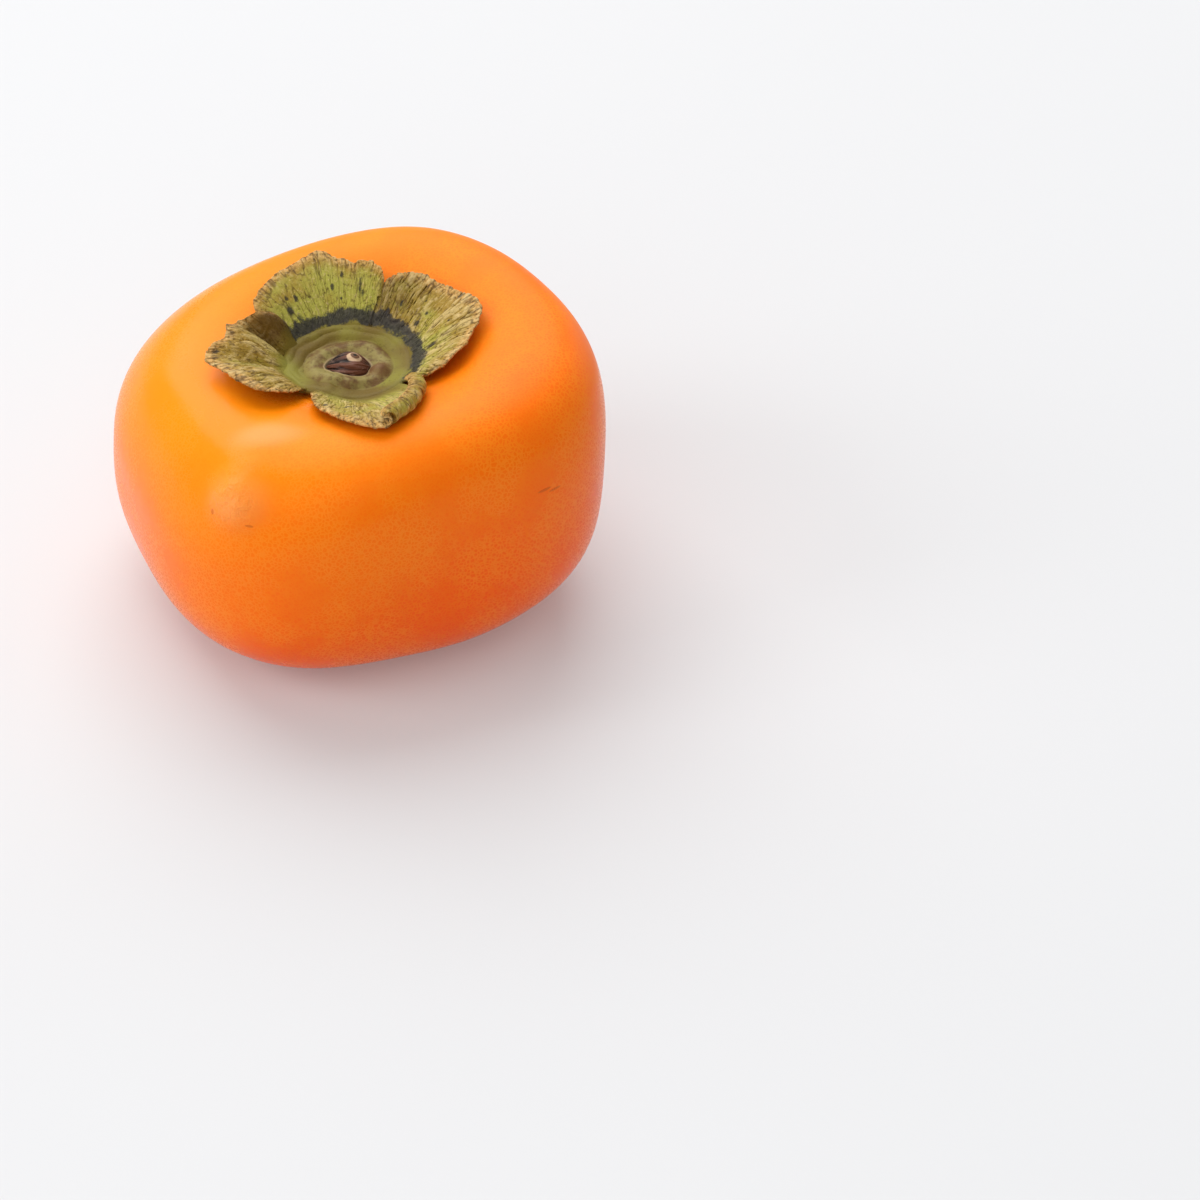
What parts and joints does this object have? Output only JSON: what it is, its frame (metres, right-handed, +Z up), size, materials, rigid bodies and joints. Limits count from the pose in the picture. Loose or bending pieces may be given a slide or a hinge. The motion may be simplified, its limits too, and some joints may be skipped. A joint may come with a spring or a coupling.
{
  "type": "persimmon",
  "caption": "Whole ripe Fuyu-type persimmon: squat, softly square orange fruit with a dished top, dried green calyx of broad sepals and a woody stalk stub.",
  "frame": {"origin": "on the surface that the fruit stands on, under the middle of its bounding box; the fruit's own axis is 0.3 mm to -X and 0.7 mm to -Y of it", "axes": "+Z up along the fruit's axis from the blossom end to the stalk; +X towards the higher shoulder; -Y towards the short, curled front sepal"},
  "size_m": [0.0792, 0.0766, 0.0515],
  "materials": {
    "skin": "smooth waxy orange fruit skin, paler on top and redder low down, with a fine pale speckle and a soft gloss",
    "calyx": "drying olive-green calyx flesh, smooth and leathery, with a low pad round the stalk socket",
    "sepal": "dried, finely wrinkled olive-green sepal with brown edges and dark spots",
    "stalk": "dark brown split wood with a pale scar where the stalk broke off",
    "blossom": "black-brown dried flower tip"
  },
  "bodies": {
    "root": {"fruit": "skin", "calyx_disc": "calyx", "sepal_back_right": "sepal", "sepal_back_left": "sepal", "sepal_left": "sepal", "sepal_front": "sepal", "stem_stub": "stalk", "blossom_tip": "blossom"}
  },
  "joints": []
}
